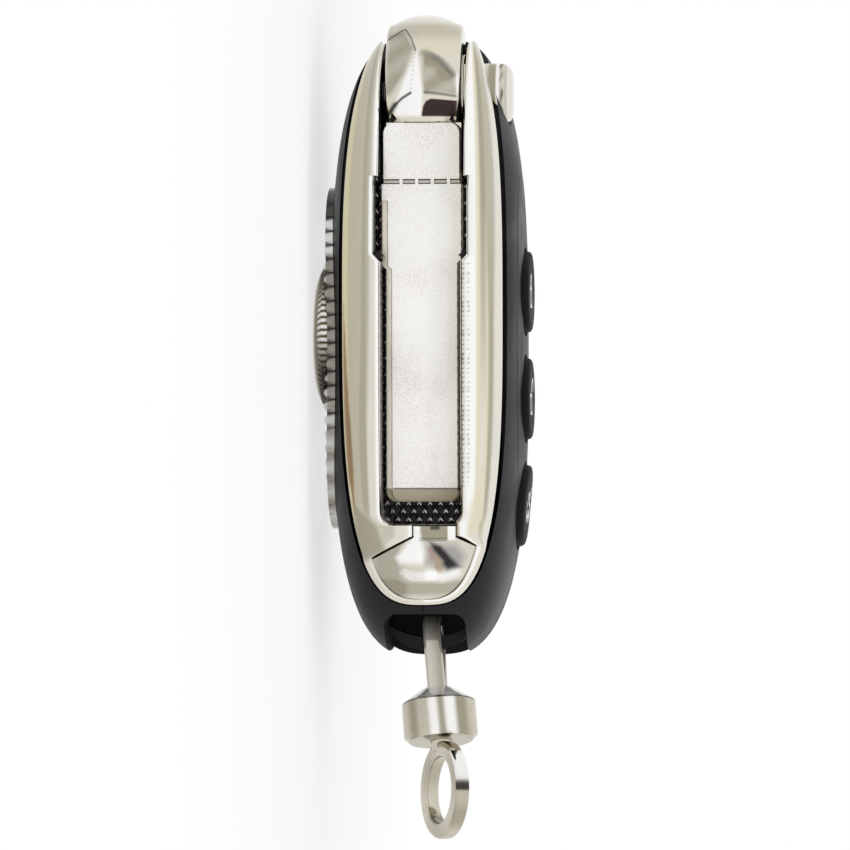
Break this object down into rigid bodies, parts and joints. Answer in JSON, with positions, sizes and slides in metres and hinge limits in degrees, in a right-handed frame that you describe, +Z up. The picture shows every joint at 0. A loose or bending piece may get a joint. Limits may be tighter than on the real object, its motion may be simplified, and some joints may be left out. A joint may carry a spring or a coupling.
{
  "type": "flip key remote shell",
  "caption": "Folding key remote lying on its back: black moulded body, bright side frame, flat blade folded in a knurled slot, sprung keys and a key ring swivel.",
  "frame": {"origin": "a point on the flat crest of the rear medallion, which the remote rests on, half a millimetre from its middle", "axes": "+X along the body towards the key ring, +Z up out of the button face, the slot side faces -Y"},
  "size_m": [0.0973, 0.0369, 0.0255],
  "materials": {
    "shell_black": "satin",
    "trim_chrome": "polished",
    "liner_black": "gloss",
    "blade_satin": "satin",
    "inner_steel": "satin",
    "key_black": "satin",
    "board_green": "gloss",
    "chip_black": "matte",
    "plate_metal": "satin",
    "swivel_nickel": "polished"
  },
  "bodies": {
    "case": {"front_shell": "shell_black", "rear_shell": "shell_black", "chrome_frame": "trim_chrome", "tail_cap": "trim_chrome", "blade_tray": "liner_black", "pivot_axle": "inner_steel", "circuit_board": "board_green", "tactile_switches": "inner_steel", "coin_cell": "inner_steel", "cell_clip": "inner_steel", "cell_contact": "inner_steel", "radio_chip": "chip_black", "shell_screws": "inner_steel", "grip_plate": "plate_metal", "medallion": "plate_metal"},
    "blade": {"flip_head": "trim_chrome", "key_blade": "blade_satin", "blade_roll_pin": "inner_steel", "head_spring": "inner_steel"},
    "release": {"release_button": "trim_chrome"},
    "upper_key": {"upper_button": "key_black"},
    "middle_key": {"middle_button": "key_black"},
    "lower_key": {"lower_button": "key_black"},
    "bail": {"swivel_bail": "swivel_nickel", "swivel_drum": "swivel_nickel"},
    "eye": {"swivel_eye": "swivel_nickel"}
  },
  "joints": [
    {"name": "blade_flip", "type": "hinge", "parent": "case", "child": "blade", "pos_m": [-0.029, -0.0054, 0.0134], "axis": [0, 0, -1], "range_deg": [0, 180]},
    {"name": "release_press", "type": "slide", "parent": "blade", "child": "release", "axis": [0, 0, -1], "range_m": [0, 0.0016], "stiffness_N_per_m": 1500, "deforming": ["head_spring"]},
    {"name": "upper_press", "type": "slide", "parent": "case", "child": "upper_key", "axis": [0, 0, -1], "range_m": [0, 0.0004], "stiffness_N_per_m": 1000},
    {"name": "middle_press", "type": "slide", "parent": "case", "child": "middle_key", "axis": [0, 0, -1], "range_m": [0, 0.0004], "stiffness_N_per_m": 1000},
    {"name": "lower_press", "type": "slide", "parent": "case", "child": "lower_key", "axis": [0, 0, -1], "range_m": [0, 0.0004], "stiffness_N_per_m": 1000},
    {"name": "bail_swing", "type": "hinge", "parent": "case", "child": "bail", "pos_m": [0.0361, 0, 0.0138], "axis": [-0.0872, 0, 0.9962], "range_deg": [-24, 56]},
    {"name": "eye_spin", "type": "hinge", "parent": "bail", "child": "eye", "pos_m": [0.0452, -0.00262, 0.0146], "axis": [0.9576, -0.2756, 0.0838], "continuous": true}
  ]
}
